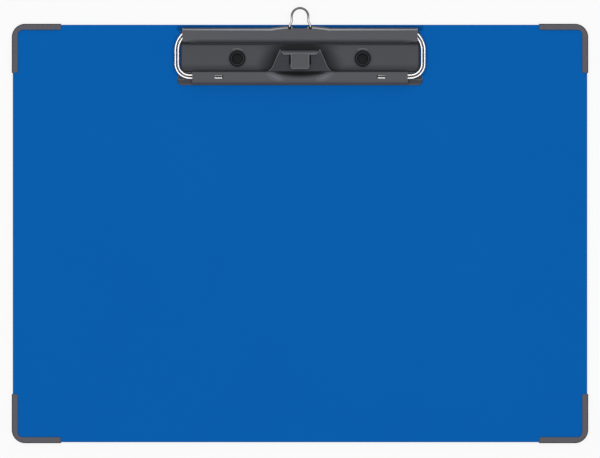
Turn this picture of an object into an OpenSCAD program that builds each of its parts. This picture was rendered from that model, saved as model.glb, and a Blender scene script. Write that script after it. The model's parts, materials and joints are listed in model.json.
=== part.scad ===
// Landscape clipboard: a wrapped board with four corner guards, and a pressed-steel
// spring clip with a hanging hook on its upper long edge.
// X runs along the long edges, +Y towards the clip, +Z out of the writing face.
// The origin lies at the middle of the whole outline, on the surface that the board lies on.
// Clip pieces are drawn from the board's upper edge: depth runs down the board from that
// edge, and height runs up from the writing face.

/* [Board] */
// Width of the wrapped board
board_w = 322; // [260:1:460]
// Length of the wrapped board, across the clip
board_l = 234; // [160:1:340]
// Corner radius of the wrapped board
board_r = 7; // [5:0.5:14]
// Thickness of the stiff core
core_t = 2.1; // [1.8:0.1:4]
// Thickness of the wrapping sheet
cover_t = 0.3; // [0.2:0.05:0.4]
// Radius of the wrapped edges
wrap_r = 0.8; // [0.6:0.05:1]
// Width of the wrap that is turned in behind the core
hem_w = 12; // [9:0.5:13]
// Thickness of the lining sheet on the back
lining_t = 0.3; // [0.2:0.05:0.3]
// Distance from the board's edge to the lining's edge
lining_inset = 4; // [3.5:0.25:6]

/* [Corner guards] */
// Length of each arm along the board's edge
guard_arm = 27.5; // [18:0.5:40]
// Width of the band on the writing face
guard_band = 3.4; // [2.5:0.1:3.8]
// How far the guard stands out past the board's edge
guard_proud = 0.5; // [0.4:0.1:1.2]
// Thickness of the band on each face
guard_t = 1.1; // [1.1:0.1:1.8]
// Radius of the guard's outer edges
guard_edge_r = 0.8; // [0.3:0.1:1]
// Radius of the band's inner corner
guard_inner_r = 2.8; // [1:0.1:5]
// Radius at the free end of each arm
guard_tip_r = 0.9; // [0.4:0.1:1.5]

/* [Clip base] */
// Thickness of the pressed sheet of the base and the jaw
sheet_t = 0.8; // [0.6:0.05:0.9]
// Width of the raised middle of the base
pan_w = 133.8; // [110:0.1:180]
// Depth of the raised middle's lower edge
pan_bottom = 26.8; // [26:0.1:27]
// Free height under the raised middle
pan_rise = 1.4; // [1:0.1:1.6]
// Corner radius of the raised middle
pan_corner_r = 3; // [2:0.1:4]
// Radius of the bend round the raised middle
pan_edge_r = 1.1; // [0.95:0.05:1.2]
// Depth of the upper fold's outer edge
fold_top = 2; // [1.5:0.1:2.4]
// Clear height inside the upper fold
channel_h = 2.2; // [2:0.1:2.4]
// Depth of the flap's free edge
flap_bottom = 10.1; // [8.6:0.1:10.4]
// How far each end of the flap stays inside the raised middle
flap_inset = 1.1; // [0.9:0.1:2]
// Corner radius of the flap's free edge
flap_corner_r = 1.2; // [0.4:0.1:2]
// Depth of the base's lower edge
lip_bottom = 33.9; // [33.6:0.1:35]
// How far the lip reaches past each end of the raised middle
lip_flange = 1.7; // [1:0.1:3]
// Depth of the upper edge of the lip's ends
lip_top = 28.4; // [28:0.1:29.5]
// Corner radius of the lip
lip_corner_r = 2.6; // [1.5:0.1:2.9]
// Width of the raised gripping bead
bead_w = 3.1; // [3:0.1:3.4]
// How far the bead stands above the lip
bead_rise = 0.5; // [0.4:0.05:0.7]
// Width of the bowed part of the upper fold
bow_w = 33; // [26:0.5:44]
// How far the fold bows out at its middle
bow_rise = 1.3; // [0.8:0.1:1.6]
// Width of the notch between the hook's legs
notch_w = 8.4; // [6:0.1:8.6]
// Depth of the notch's floor
notch_bottom = 2.3; // [2:0.1:2.6]

/* [Rivets] */
// Distance between the two rivets
rivet_pitch = 70.2; // [50:0.1:90]
// Depth of the rivets
rivet_depth = 19.1; // [17.8:0.1:20]
// Shank diameter
rivet_d = 4; // [3:0.1:4.5]
// Diameter of the domed head
rivet_head_d = 7.2; // [6:0.1:7.6]
// Height of the domed head
rivet_head_h = 0.95; // [0.6:0.05:1.2]
// Clearance round the shank
rivet_clear = 0.05; // [0.02:0.01:0.08]
// Diameter of the recess round the head
recess_d = 8.8; // [8:0.1:10]
// Rounding of the recess's rim
recess_rim_r = 0.7; // [0.5:0.05:0.75]
// How far that rim stands above the raised middle
rim_rise = 0.15; // [0.1:0.05:0.25]
// Diameter of the clenched end
clench_d = 7; // [6:0.1:7.6]
// Thickness of the clenched end
clench_t = 0.5; // [0.3:0.05:0.55]
// Diameter of the back washer
washer_d = 9; // [8.2:0.1:11]
// Thickness of the back washer
washer_t = 0.5; // [0.3:0.05:0.55]

/* [Jaw] */
// Depth of the jaw's upper edge
jaw_top = 26.45; // [26.2:0.05:26.7]
// Depth of the jaw's lower edge
jaw_bottom = 33.36; // [33.1:0.01:33.5]
// Clear height inside the jaw's hem
hem_h = 2.2; // [2.1:0.05:2.4]
// Gap between the shut jaw and the bead
grip_gap = 0.05; // [0.03:0.01:0.2]
// Depth of the hem's free edge below the writing side
hem_edge = 27.8; // [27.6:0.05:28.4]
// Width of each window
window_w = 4.8; // [3:0.1:8]
// Height of each window
window_h = 1.9; // [1.2:0.1:2.4]
// Distance of each window from the middle
window_x = 45.3; // [32:0.1:48]
// How far each window sits below the middle of the wires
window_shift = 0.3; // [0:0.05:0.4]
// Gap between a jaw end and the bend of the wires
jaw_end_gap = 1.55; // [0.5:0.05:4]

/* [Finger lift] */
// Width of the lift at its root
lift_root_w = 40; // [36:0.5:46]
// Distance from the jaw's upper edge to the start of the root's bend
root_run = 0.85; // [0.6:0.05:1.2]
// Width of the lift at its top
lift_top_w = 22.2; // [19:0.1:24]
// Lean of the lift's sides
lift_side_angle = 24.4; // [15:0.1:26]
// Depth of the lift's top fold
lift_top = 15.1; // [14.6:0.1:15.6]
// How far the ear at each end of the fold rises past it
ear_rise = 0.75; // [0.4:0.05:1]
// Width of each ear
ear_w = 1.2; // [0.8:0.1:1.6]
// Slope of the lift
lift_angle = 30; // [28:0.5:34]
// Inner radius of the bend at the root
root_bend_r = 1.6; // [1:0.1:2.2]
// Inner radius of the top fold
tab_fold_r = 0.6; // [0.4:0.05:0.9]
// Width of the flange beside the tab
strip_w = 18.4; // [16:0.1:19]
// Depth of the flange's lower edge
strip_bottom = 17.4; // [17:0.1:17.8]
// Width of the press tab
tab_w = 10.2; // [8:0.1:12]
// Depth of the tab's free end
tab_bottom = 25.3; // [21:0.1:26]
// Corner radius of the tab
tab_corner_r = 1.1; // [0.5:0.1:2]
// Width of the hole behind the tab
hole_w = 12.2; // [11:0.1:14]
// Depth of the hole's upper edge
hole_top = 17.2; // [16.9:0.1:17.8]
// Depth of the hole's lower edge
hole_bottom = 22.5; // [19:0.1:23]
// Radius of the scooped root, seen from above
scoop_r = 48; // [36:1:60]
// Depth at which the scoop runs out
scoop_bottom = 29.7; // [28.6:0.1:29.8]
// Slope of the scoop
scoop_angle = 12; // [6:1:14]
// Distance of each swaged ridge from the middle
ridge_x = 14; // [12:0.1:16]
// Depth of each ridge's middle
ridge_depth = 29.4; // [29.1:0.1:29.5]
// Height of the ridges
ridge_rise = 0.35; // [0.2:0.05:0.5]
// Length of the spindle that swages each ridge
ridge_span = 26; // [20:1:28]
// Radius of that spindle at its middle
ridge_r = 3; // [2:0.5:3.5]
// Lean of each ridge
ridge_lean = 24.6; // [15:0.1:30]

/* [Spring wires] */
// Diameter of the spring wire
wire_d = 1.3; // [1:0.05:1.4]
// Distance between the two wires
wire_pitch = 1.65; // [1.5:0.05:1.7]
// Gap between the wires and the ends of the raised middle
loop_gap = 0.6; // [0.4:0.05:1.5]
// Bend radius of the outer wire at the flap
upper_bend_r = 2.5; // [2.5:0.1:3]
// Turn of that bend
upper_bend_angle = 49; // [44:1:54]
// Straight between that bend and the bowed side
bend_run = 0.5; // [0.3:0.1:1]
// Radius of the outer wire's bowed side
side_bow_r = 12.6; // [10:0.1:14]
// Bend radius of the outer wire at the jaw
lower_bend_r = 8; // [6:0.1:9]
// Distance of each wire end from the middle
wire_end_x = 43.6; // [30:0.1:46]
// Gap between the wires and the bend of the jaw's hem
seat_gap = 0.76; // [0.6:0.02:0.9]

/* [Hanging hook] */
// Diameter of the hook's wire
hook_d = 1.2; // [0.9:0.05:1.3]
// Width of the loop at the middle of the wire
loop_w = 9.26; // [7:0.02:9.4]
// How far the hook reaches past the board's edge
hook_reach = 9.7; // [8:0.1:20]
// Distance of each hook hole from the middle
hook_hole_x = 5.75; // [5.7:0.05:7]
// Gap beside each leg in its slot
slot_gap = 0.3; // [0.2:0.05:0.35]
// Gap above and below a leg in its slot
stop_gap = 0.05; // [0.03:0.01:0.1]
// Gap between neighbouring wires inside the fold
run_gap = 0.2; // [0.15:0.05:0.3]
// Distance of each foot's end from the middle
foot_x = 10; // [8.5:0.1:14]
// Bend radius of each foot
foot_bend_r = 0.9; // [0.75:0.05:1]
// Depth at which a leg starts to lean inwards
lean_start = 0.8; // [0.6:0.05:1.1]
// Lean of the legs between the loop and the slots
lean_angle = 30; // [24:1:40]
// Bend radius at each end of the lean
lean_bend_r = 1.5; // [0.8:0.1:2]
// How far the hook swings forwards
hook_swing = 40; // [20:1:45]

/* [Hidden] */
$fn = 48;

board_blue = [0.04, 0.37, 0.69];
core_grey = [0.62, 0.58, 0.52];
clip_grey = [0.33, 0.33, 0.36];
rivet_grey = [0.22, 0.22, 0.24];
guard_grey = [0.31, 0.31, 0.34];
bright_steel = [0.85, 0.86, 0.88];

// Margin by which a cutter passes the face that it cuts
over = 0.1;
// Width of the joggle that joins the lining's two levels
lap = 0.3;
// How far a bend that ends off the square stands proud, and a flat runs into it
swell = 0.01;
seam = 0.05;
// How far the bowed roll stands proud of the straight rolls beside it
bow_step = 0.02;

// Levels of the board, up from the surface it lies on
wrap_bottom = guard_t;
core_bottom = wrap_bottom + cover_t;
core_top = core_bottom + core_t;
face_z = core_top + cover_t;
wrap_h = face_z - wrap_bottom;
lining_back = core_bottom - lining_t;

// The outline from the lower guards to the hook's top is centred on the origin
centre_y = -(hook_reach - guard_proud) / 2;
top_y = centre_y + board_l / 2;

// Heights and depths of the base
pan_top = pan_rise + sheet_t;
fold_in_r = channel_h / 2;
fold_out_r = fold_in_r + sheet_t;
axis_h = pan_top + fold_in_r;
fold_depth = fold_top + fold_out_r;
flap_h = pan_top + channel_h;
flap_w = pan_w - 2 * flap_inset;
lip_w = pan_w + 2 * lip_flange;
bead_top = sheet_t + bead_rise;
cup_r = recess_d / 2 + sheet_t;

// The bowed fold is a roll swept round a far centre
bow_r = (pow(bow_w / 2, 2) + pow(bow_rise, 2)) / (2 * bow_rise);
bow_centre = fold_top - bow_rise + bow_r;
bow_half_angle = asin(bow_w / 2 / bow_r);
bow_axis_r = bow_r - fold_out_r;
bow_half_w = bow_axis_r * sin(bow_half_angle);

// The hook's feet and the wires' runs lie side by side inside the fold
hook_depth = fold_top + sheet_t + run_gap + hook_d / 2;
run_depth = hook_depth + hook_d / 2 + run_gap + wire_d / 2;
spring_depth = run_depth + wire_pitch / 2;

// The jaw's hem closes round the wires' ends
jaw_in_r = hem_h / 2;
jaw_out_r = jaw_in_r + sheet_t;
jaw_h = bead_top + grip_gap + jaw_out_r;
jaw_face = jaw_h + jaw_out_r;
jaw_bend = jaw_bottom - jaw_out_r;
jaw_depth = jaw_bend - seat_gap - wire_d / 2 - wire_pitch / 2;

// Plane of the wires, from the fold's axis to the jaw's axis
arm_rise = jaw_h - axis_h;
arm_run = jaw_depth - spring_depth;
arm_l = sqrt(arm_rise * arm_rise + arm_run * arm_run);
arm_angle = atan2(arm_rise, arm_run);
loop_x = pan_w / 2 + loop_gap + wire_d / 2 + wire_pitch;
jaw_w = 2 * (loop_x - lower_bend_r - jaw_end_gap);

// Side view of the finger lift
root_h = jaw_face + root_bend_r;
tab_out_r = tab_fold_r + sheet_t;
tab_axis = lift_top + tab_out_r;
root_depth = jaw_top + root_run;
lift_drop = root_bend_r - tab_fold_r;
lift_l = (root_depth - tab_axis - lift_drop * sin(lift_angle)) / cos(lift_angle);
tab_axis_h = root_h + lift_l * sin(lift_angle) - lift_drop * cos(lift_angle);

// Front view of the finger lift
fold_w = lift_top_w - 2 * ear_w;
ear_top = lift_top - ear_rise;
lift_edge_x = lift_top_w / 2 + (jaw_top - ear_top) * tan(lift_side_angle);
flare_l = lift_root_w / 2 - lift_edge_x;
flare_r = flare_l / tan((90 - lift_side_angle) / 2);

// Places a clip piece: depth runs down the board and height up from the writing face
module at_clip() {
    translate([0, top_y, face_z]) children();
}

// Extrudes a side view, drawn as depth and height, along the width of the clip
module section(w) {
    mirror([0, 1, 0]) rotate([90, 0, 90]) linear_extrude(w, center = true) children();
}

// Extrudes a front view, drawn as width and depth, between two heights
module plan(from_h, to_h) {
    translate([0, 0, from_h]) linear_extrude(to_h - from_h) mirror([0, 1]) children();
}

module both_sides() {
    for (side = [0, 1]) mirror([side, 0, 0]) children();
}

// Profile that ends in a round on its upper outer corner
module top_round(reach, h, r) {
    square([reach - r, h]);
    square([reach, h - r]);
    translate([reach - r, h - r]) intersection() {
        circle(r);
        square(r);
    }
}

// Profile that ends in a round on both outer corners
module full_round(reach, h, r) {
    square([reach - r, h]);
    translate([0, r]) square([reach, h - 2 * r]);
    for (y = [r, h - r]) translate([reach - r, y]) circle(r);
}

// Flat slab with rounded corners and rounded edges, standing on its base
module round_slab(w, l, h, corner, edge) {
    translate([0, 0, 0]) rotate([90, 0, 90]) linear_extrude(w - 2 * corner, center = true)
        for (side = [0, 1]) mirror([side, 0]) full_round(l / 2, h, edge);
    both_sides() {
        translate([w / 2 - corner, 0, 0]) rotate([90, 0, 0])
            linear_extrude(l - 2 * corner, center = true) full_round(corner, h, edge);
        translate([w / 2 - corner, l / 2 - corner, 0])
            rotate_extrude(angle = 90) full_round(corner, h, edge);
        translate([w / 2 - corner, corner - l / 2, 0]) rotate([0, 0, -90])
            rotate_extrude(angle = 90) full_round(corner, h, edge);
    }
}

// Rectangle with all four corners rounded
module round_rect(w, l, r) {
    square([w - 2 * r, l], center = true);
    square([w, l - 2 * r], center = true);
    for (x = [r - w / 2, w / 2 - r], y = [r - l / 2, l / 2 - r]) translate([x, y]) circle(r);
}

// Front view of a plate between two depths, rounded at its two lower corners
module lower_round(w, from_d, to_d, r) {
    translate([-w / 2, from_d]) square([w, to_d - from_d - r]);
    translate([r - w / 2, from_d]) square([w - 2 * r, to_d - from_d]);
    for (x = [r - w / 2, w / 2 - r]) translate([x, to_d - r]) circle(r);
}

// Block between two depths with rounded lower corners and a rounded upper edge
module pan_block(w, from_d, to_d, h, corner, edge) {
    translate([0, -from_d, 0]) section(w - 2 * corner) top_round(to_d - from_d, h, edge);
    both_sides() {
        translate([w / 2 - corner, -from_d, 0]) rotate([90, 0, 0])
            linear_extrude(to_d - from_d - corner) top_round(corner, h, edge);
        translate([w / 2 - corner, corner - to_d, 0]) rotate([0, 0, -90])
            rotate_extrude(angle = 90) top_round(corner, h, edge);
    }
}

// Sheet that follows steps of [straight length, inner bend radius, bend angle].
// It sets out along +Y with its lower face on the XY plane, and positive angles bend up.
module bent_sheet(w, steps, i = 0) {
    if (i < len(steps)) {
        l = steps[i][0];
        r = steps[i][1];
        angle = steps[i][2];
        proud = angle % 90 == 0 ? 0 : swell;
        start = i > 0 ? -seam : 0;
        if (l > 0) translate([-w / 2, start, 0]) cube([w, l - start, sheet_t]);
        translate([0, l, sheet_t + r]) {
            if (angle > 0) rotate([90, 0, 90]) rotate([0, 0, -90])
                rotate_extrude(angle = angle) translate([r - proud, -w / 2])
                square([sheet_t + 2 * proud, w]);
            rotate([angle, 0, 0]) translate([0, 0, -sheet_t - r]) bent_sheet(w, steps, i + 1);
        }
    }
}

// Round wire that follows steps of [straight length, bend radius, bend angle].
// It sets out along +Y, and positive angles bend to the left.
module bent_wire(d, steps, i = 0) {
    if (i < len(steps)) {
        l = steps[i][0];
        angle = steps[i][2];
        r = angle < 0 ? -steps[i][1] : steps[i][1];
        bend_d = d + 2 * swell;
        start = i > 0 ? -seam : 0;
        end = angle == 0 ? l : l + seam;
        if (l > 0) translate([0, start, 0]) rotate([-90, 0, 0]) cylinder(h = end - start, d = d);
        translate([-r, l, 0]) {
            if (angle > 0) rotate_extrude(angle = angle) translate([r, 0]) circle(d = bend_d);
            if (angle < 0) rotate([0, 0, 180 + angle]) rotate_extrude(angle = -angle)
                translate([-r, 0]) circle(d = bend_d);
            rotate([0, 0, angle]) translate([r, 0, 0]) bent_wire(d, steps, i + 1);
        }
    }
}

// The wrapped board, as a solid
module wrapped_board() {
    translate([0, centre_y, wrap_bottom])
        round_slab(board_w, board_l, wrap_h, board_r, wrap_r);
}

module core_blank() {
    translate([0, centre_y, core_bottom])
        round_slab(board_w - 2 * cover_t, board_l - 2 * cover_t, core_t,
            board_r - cover_t, wrap_r - cover_t);
}

// Outline at a distance inside the board's edge
module inset_outline(inset, r) {
    translate([0, centre_y]) round_rect(board_w - 2 * inset, board_l - 2 * inset, r);
}

// Holes for both rivets through everything between two levels
module rivet_holes(from_z, to_z) {
    both_sides() translate([rivet_pitch / 2, top_y - rivet_depth, from_z])
        cylinder(h = to_z - from_z, d = rivet_d + 2 * rivet_clear);
}

module board_core() {
    color(core_grey) difference() {
        core_blank();
        rivet_holes(core_bottom - over, core_top + over);
    }
}

// Wrapping sheet: the writing face, the four edges and the turned-in hems
module front_cover() {
    color(board_blue) difference() {
        wrapped_board();
        core_blank();
        translate([0, 0, wrap_bottom - over]) linear_extrude(cover_t + 2 * over)
            inset_outline(hem_w, board_r / 2);
        rivet_holes(core_top - over, face_z + over);
    }
}

// Lining sheet: it lies on the hems and steps up to the core inside them
module back_lining() {
    color(board_blue) difference() {
        union() {
            translate([0, 0, wrap_bottom - lining_t]) linear_extrude(lining_t) difference() {
                inset_outline(lining_inset, board_r / 2);
                inset_outline(hem_w + lap, board_r / 2 - lap);
            }
            translate([0, 0, lining_back]) linear_extrude(lining_t)
                inset_outline(hem_w, board_r / 2);
        }
        rivet_holes(lining_back - over, core_bottom + over);
    }
}

// Front view of one guard, with its outer corner at the origin and its arms along +X and +Y
module guard_outline() {
    arm_end = guard_arm - guard_tip_r;
    difference() {
        union() {
            square([arm_end, guard_band]);
            square([guard_arm, guard_band - guard_tip_r]);
            translate([arm_end, guard_band - guard_tip_r]) circle(guard_tip_r);
            square([guard_band, arm_end]);
            square([guard_band - guard_tip_r, guard_arm]);
            translate([guard_band - guard_tip_r, arm_end]) circle(guard_tip_r);
            translate([guard_band, guard_band]) square(guard_inner_r);
        }
        translate([guard_band + guard_inner_r, guard_band + guard_inner_r])
            circle(guard_inner_r);
    }
}

// Moulded guard for one corner, gripping both faces of the board
module corner_guard(x_side, y_side) {
    out_w = board_w + 2 * guard_proud;
    out_l = board_l + 2 * guard_proud;
    color(guard_grey) difference() {
        intersection() {
            translate([0, centre_y, 0])
                round_slab(out_w, out_l, face_z + guard_t, board_r + guard_proud, guard_edge_r);
            translate([x_side * out_w / 2, centre_y + y_side * out_l / 2, -over])
                scale([-x_side, -y_side, 1])
                linear_extrude(face_z + guard_t + 2 * over) guard_outline();
        }
        wrapped_board();
    }
}

module guard_top_left() { corner_guard(-1, 1); }
module guard_top_right() { corner_guard(1, 1); }
module guard_bottom_left() { corner_guard(-1, -1); }
module guard_bottom_right() { corner_guard(1, -1); }

// Straight roll at each side of the bow, cut off along the bow's end
module straight_fold() {
    roll_l = flap_w / 2 - bow_half_w + over;
    both_sides() difference() {
        translate([flap_w / 2 - roll_l / 2, -fold_depth, pan_rise])
            bent_sheet(roll_l, [[0, fold_in_r, 180]]);
        translate([0, -bow_centre, 0]) rotate([0, 0, -bow_half_angle])
            translate([-bow_r - seam, 0, 0]) cube([bow_r, 2 * bow_r, 2 * flap_h]);
    }
}

// Side view of both sheets and the roll between them, about the roll's own centre
module hairpin(reach) {
    in_r = fold_in_r - bow_step;
    out_r = fold_out_r + bow_step;
    difference() {
        union() {
            circle(out_r);
            translate([-reach, -out_r]) square([reach, 2 * out_r]);
        }
        circle(in_r);
        translate([-reach - over, -in_r]) square([reach + over, 2 * in_r]);
    }
}

// Bowed roll at the middle, which makes room for the hook's feet
module bowed_fold() {
    translate([0, -bow_centre, axis_h]) rotate([0, 0, 90 - bow_half_angle])
        rotate_extrude(angle = 2 * bow_half_angle) translate([bow_axis_r + bow_step, 0])
            hairpin(bow_rise + fold_out_r);
}

// Raised middle of the base, open towards the board
module raised_pan() {
    difference() {
        pan_block(pan_w, fold_depth, pan_bottom, pan_top, pan_corner_r, pan_edge_r);
        translate([0, over, -over]) pan_block(pan_w - 2 * sheet_t, fold_depth,
            pan_bottom - sheet_t + over, pan_rise + over, pan_corner_r - sheet_t,
            pan_edge_r - sheet_t);
    }
}

// Lip that lies on the board, with its gripping bead
module lip() {
    bead_depth = lip_bottom - bead_w;
    wing_r = 0.7 * min(lip_flange, bead_depth - lip_top);
    plan(0, sheet_t) {
        mirror([0, 1]) lower_round(lip_w, -bead_depth - over, -lip_top, wing_r);
        translate([pan_corner_r - pan_w / 2, pan_bottom - sheet_t])
            square([pan_w - 2 * pan_corner_r, bead_depth - pan_bottom + sheet_t]);
    }
    difference() {
        pan_block(lip_w, bead_depth, lip_bottom, bead_top, lip_corner_r, bead_rise);
        plan(-over, bead_rise) lower_round(lip_w - 2 * sheet_t, bead_depth + lap,
            lip_bottom - sheet_t, min(lip_corner_r, bead_w - lap) - sheet_t - over);
    }
}

// Cup round each rivet: its rim rolls over into the raised middle
module rivet_cups() {
    in_r = recess_d / 2;
    rim_r = min(recess_rim_r, sheet_t - over / 2);
    rim_z = pan_top + rim_rise - rim_r;
    both_sides() translate([rivet_pitch / 2, -rivet_depth, 0]) rotate_extrude() {
        square([cup_r, sheet_t]);
        difference() {
            translate([in_r, 0]) square([sheet_t, pan_top]);
            translate([in_r - over, rim_z]) square([rim_r + over, rim_r]);
        }
        translate([in_r + rim_r, rim_z]) circle(rim_r);
    }
}

module cup_seats() {
    both_sides() translate([rivet_pitch / 2, -rivet_depth, -over])
        cylinder(h = pan_top + 2 * over, r = cup_r);
}

// Side view of everything a hook leg sweeps, about the hook's axis
module leg_sweep(reach) {
    half = hook_d / 2 + stop_gap;
    for (angle = [0, hook_swing]) rotate(-angle) translate([-reach, -half])
        square([reach, 2 * half]);
    polygon([[0, 0], [-reach, 0], [-reach, reach * tan(hook_swing)]]);
}

module hook_slots() {
    both_sides() translate([hook_hole_x, -hook_depth, axis_h])
        section(hook_d + 2 * slot_gap) leg_sweep(hook_depth + bow_rise);
}

module hook_notch() {
    notch_top = fold_top - bow_rise - over;
    plan(0, flap_h + 2 * sheet_t) translate([-notch_w / 2, notch_top])
        square([notch_w, notch_bottom - notch_top]);
}

module clip_base() {
    color(clip_grey) difference() {
        at_clip() difference() {
            union() {
                difference() {
                    raised_pan();
                    cup_seats();
                }
                rivet_cups();
                lip();
                straight_fold();
                bowed_fold();
                plan(flap_h, flap_h + sheet_t)
                    lower_round(flap_w, fold_depth, flap_bottom, flap_corner_r);
            }
            hook_slots();
            hook_notch();
        }
        rivet_holes(face_z - over, face_z + sheet_t + over);
    }
}

// Rivet: domed head in the recess, shank, and clenched end behind the washer
module rivet(side) {
    head_z = face_z + sheet_t;
    rim_h = rivet_head_h / 2;
    dome_h = rivet_head_h - rim_h;
    dome_r = (pow(rivet_head_d / 2, 2) + dome_h * dome_h) / (2 * dome_h);
    shank_z = lining_back - washer_t;
    color(rivet_grey) translate([side * rivet_pitch / 2, top_y - rivet_depth, 0])
        rotate_extrude() {
            translate([0, shank_z]) square([rivet_d / 2, head_z - shank_z]);
            translate([0, shank_z - clench_t]) square([clench_d / 2, clench_t]);
            translate([0, head_z]) square([rivet_head_d / 2, rim_h]);
            translate([0, head_z + rim_h]) intersection() {
                translate([0, dome_h - dome_r]) circle(dome_r, $fn = 180);
                square([rivet_head_d / 2, dome_h]);
            }
        }
}

module rivet_washer(side) {
    color(bright_steel)
        translate([side * rivet_pitch / 2, top_y - rivet_depth, lining_back - washer_t])
        difference() {
            cylinder(h = washer_t, d = washer_d);
            translate([0, 0, -over])
                cylinder(h = washer_t + 2 * over, d = rivet_d + 2 * rivet_clear);
        }
}

module rivet_left() { rivet(-1); }
module rivet_right() { rivet(1); }
module rivet_washer_left() { rivet_washer(-1); }
module rivet_washer_right() { rivet_washer(1); }

// One spring wire: a run in the flap, a bowed loop at each side, and two ends in the jaw
module spring_wire(step) {
    shift = step * wire_pitch;
    turn = upper_bend_angle;
    top_r = upper_bend_r - shift;
    side_r = side_bow_r - shift;
    low_r = lower_bend_r - shift;
    side_x = loop_x - shift;
    across = top_r * sin(turn) + bend_run * cos(turn) + side_r * (1 - sin(turn));
    down = top_r * (1 - cos(turn)) + bend_run * sin(turn) + side_r * cos(turn);
    color(bright_steel) at_clip() translate([0, -spring_depth, axis_h])
        rotate([-arm_angle, 0, 0]) translate([0, wire_pitch / 2 - shift, 0])
        both_sides() rotate([0, 0, -90]) bent_wire(wire_d, [
            [side_x - across, top_r, -turn],
            [bend_run, side_r, turn - 90],
            [arm_l + wire_pitch - 2 * shift - down - low_r, low_r, -90],
            [side_x - low_r - wire_end_x, 0, 0]
        ]);
}

module spring_wire_outer() { spring_wire(0); }
module spring_wire_inner() { spring_wire(1); }

// Front view of the sloping lift, with flared sides
module lift_plan() {
    difference() {
        polygon([
            [-lift_root_w / 2, root_depth], [-lift_root_w / 2, jaw_top],
            [-lift_edge_x + flare_l * sin(lift_side_angle),
                jaw_top - flare_l * cos(lift_side_angle)],
            [-lift_top_w / 2, ear_top], [lift_top_w / 2, ear_top],
            [lift_edge_x - flare_l * sin(lift_side_angle),
                jaw_top - flare_l * cos(lift_side_angle)],
            [lift_root_w / 2, jaw_top], [lift_root_w / 2, root_depth]
        ]);
        for (side = [-1, 1]) translate([side * lift_root_w / 2, jaw_top + seam - flare_r])
            circle(flare_r);
        translate([-hole_w / 2, hole_top]) square([hole_w, hole_bottom - hole_top]);
    }
}

// Front view of the pointed ear at each end of the fold, wider than the lift itself
module ear_plan() {
    both_sides() polygon([
        [lift_top_w / 2, ear_top], [lift_root_w / 2, ear_top],
        [lift_root_w / 2, strip_bottom], [fold_w / 2, strip_bottom], [fold_w / 2, tab_axis]
    ]);
}

// Front view of the fold, the flange and the press tab
module tab_plan() {
    polygon([
        [-fold_w / 2, lift_top - over], [fold_w / 2, lift_top - over],
        [strip_w / 2, strip_bottom], [-strip_w / 2, strip_bottom]
    ]);
    lower_round(tab_w, strip_bottom - over, tab_bottom, tab_corner_r);
}

// Root bend and slope of the lift, up to the given length of slope
module lift_sheet(l) {
    translate([0, -root_depth, jaw_face - sheet_t])
        bent_sheet(lift_root_w, [[0, root_bend_r, lift_angle], [l, 0, 0]]);
}

module lift_slope() {
    top_h = tab_axis_h + tab_out_r;
    intersection() {
        union() {
            lift_sheet(lift_l + seam);
            intersection() {
                lift_sheet(lift_l + lift_top);
                plan(jaw_face, top_h) ear_plan();
            }
        }
        plan(jaw_face - sheet_t - over, top_h) lift_plan();
    }
}

// Fold at the lift's top and the press tab that it carries
module press_tab() {
    intersection() {
        translate([0, -tab_axis, tab_axis_h]) rotate([lift_angle, 0, 0])
            translate([0, 0, -tab_out_r]) bent_sheet(lift_top_w,
                [[0, tab_fold_r, 180 - lift_angle], [tab_bottom - tab_axis, 0, 0]]);
        plan(jaw_face, tab_axis_h + tab_out_r + over) tab_plan();
    }
}

// Shallow cone that scoops out the root of the lift
module root_scoop() {
    deep = sheet_t / 2;
    slope = tan(scoop_angle);
    translate([0, scoop_r - scoop_bottom, jaw_face - deep])
        cylinder(h = deep + over, r1 = scoop_r - deep / slope, r2 = scoop_r + over / slope,
            $fn = 360);
}

// Ridge swaged up at each corner of the root: a spindle that breaks the jaw's face
module root_ridge() {
    half_l = ridge_span / 2;
    arc_r = (half_l * half_l + ridge_r * ridge_r) / (2 * ridge_r);
    both_sides() intersection() {
        translate([ridge_x, -ridge_depth, jaw_face + ridge_rise - ridge_r])
            rotate([0, 0, ridge_lean]) rotate([0, 90, 0]) rotate_extrude() intersection() {
                translate([ridge_r - arc_r, 0]) circle(arc_r, $fn = 180);
                translate([0, -half_l]) square([ridge_r, ridge_span]);
            }
        translate([0, -ridge_depth, jaw_face])
            cube([2 * lift_root_w, ridge_span, sheet_t], center = true);
    }
}

module jaw_windows() {
    both_sides() plan(jaw_h, jaw_face + over)
        translate([window_x - window_w / 2, jaw_depth + window_shift - window_h / 2])
        square([window_w, window_h]);
}

// Face of the jaw: the scoop and the windows are cut before the hem closes under it
module jaw_sheet() {
    wing_w = (jaw_w - lift_root_w) / 2;
    difference() {
        union() {
            plan(jaw_face - sheet_t, jaw_face) {
                translate([-jaw_w / 2, root_depth]) square([jaw_w, jaw_bend - root_depth]);
                for (x = [-jaw_w / 2, lift_root_w / 2]) translate([x, jaw_top])
                    square([wing_w, root_depth - jaw_top]);
            }
            root_ridge();
        }
        root_scoop();
        jaw_windows();
    }
}

// Jaw: a hemmed plate whose upper edge rises into the finger lift
module jaw_plate() {
    color(clip_grey) at_clip() {
        jaw_sheet();
        translate([0, -hem_edge, jaw_h - jaw_out_r]) rotate([0, 0, 180])
            bent_sheet(jaw_w, [[jaw_bend - hem_edge, jaw_in_r, 180]]);
        lift_slope();
        press_tab();
    }
}

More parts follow.
